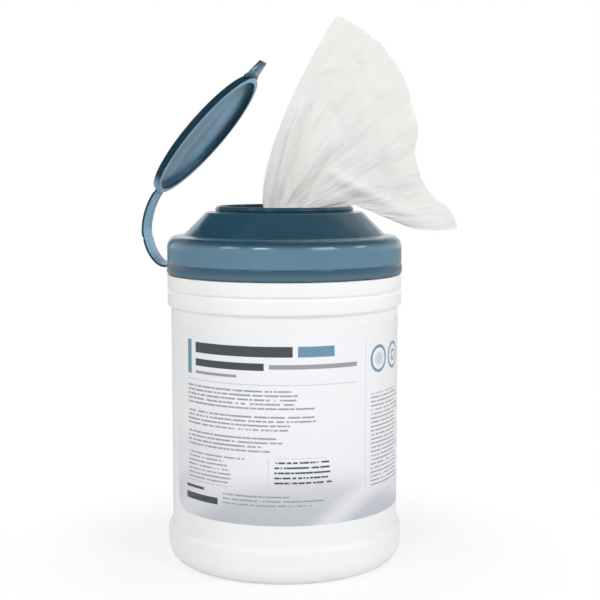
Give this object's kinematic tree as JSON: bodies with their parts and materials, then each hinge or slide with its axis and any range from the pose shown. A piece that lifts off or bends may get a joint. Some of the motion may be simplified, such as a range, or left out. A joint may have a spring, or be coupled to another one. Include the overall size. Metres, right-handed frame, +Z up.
{
  "type": "wipes canister",
  "caption": "Round tub of moistened wipes with a push-on cap, a lid standing open on a strap, and a wipe pulled half way out.",
  "frame": {"origin": "centre of the base, on the tub's axis", "axes": "+Z up along the tub's axis; the strap and lid stand on the -X side; the pictured side faces -Y"},
  "size_m": [0.1629, 0.1224, 0.28],
  "materials": {
    "tub_plastic": "satin",
    "label_film": "satin",
    "wet_wipes": "matte",
    "wipe_cloth": "matte",
    "cap_plastic": "gloss"
  },
  "bodies": {
    "tub": {"container": "tub_plastic", "label": "label_film", "wipe_roll": "wet_wipes"},
    "cap": {"cap": "cap_plastic", "lead_wipe": "wipe_cloth"},
    "strap_lower": {"strap_lower": "cap_plastic"},
    "strap_upper": {"strap_upper": "cap_plastic"},
    "lid": {"lid": "cap_plastic"}
  },
  "joints": [
    {"name": "cap_lift", "type": "slide", "parent": "tub", "child": "cap", "axis": [0, 0, 1], "range_m": [0, 0.1]},
    {"name": "strap_foot_hinge", "type": "hinge", "parent": "cap", "child": "strap_lower", "pos_m": [-0.0614, 0, 0.1525], "axis": [0, 1, 0], "range_deg": [0, 40], "deforming": ["lead_wipe"]},
    {"name": "strap_crease_hinge", "type": "hinge", "parent": "strap_lower", "child": "strap_upper", "pos_m": [-0.0737, 0, 0.16698], "axis": [0, 1, 0], "range_deg": [-15, 7.5]},
    {"name": "lid_hinge", "type": "hinge", "parent": "strap_upper", "child": "lid", "pos_m": [-0.06736, 0, 0.19137], "axis": [0, 1, 0], "range_deg": [-60, 2]}
  ]
}
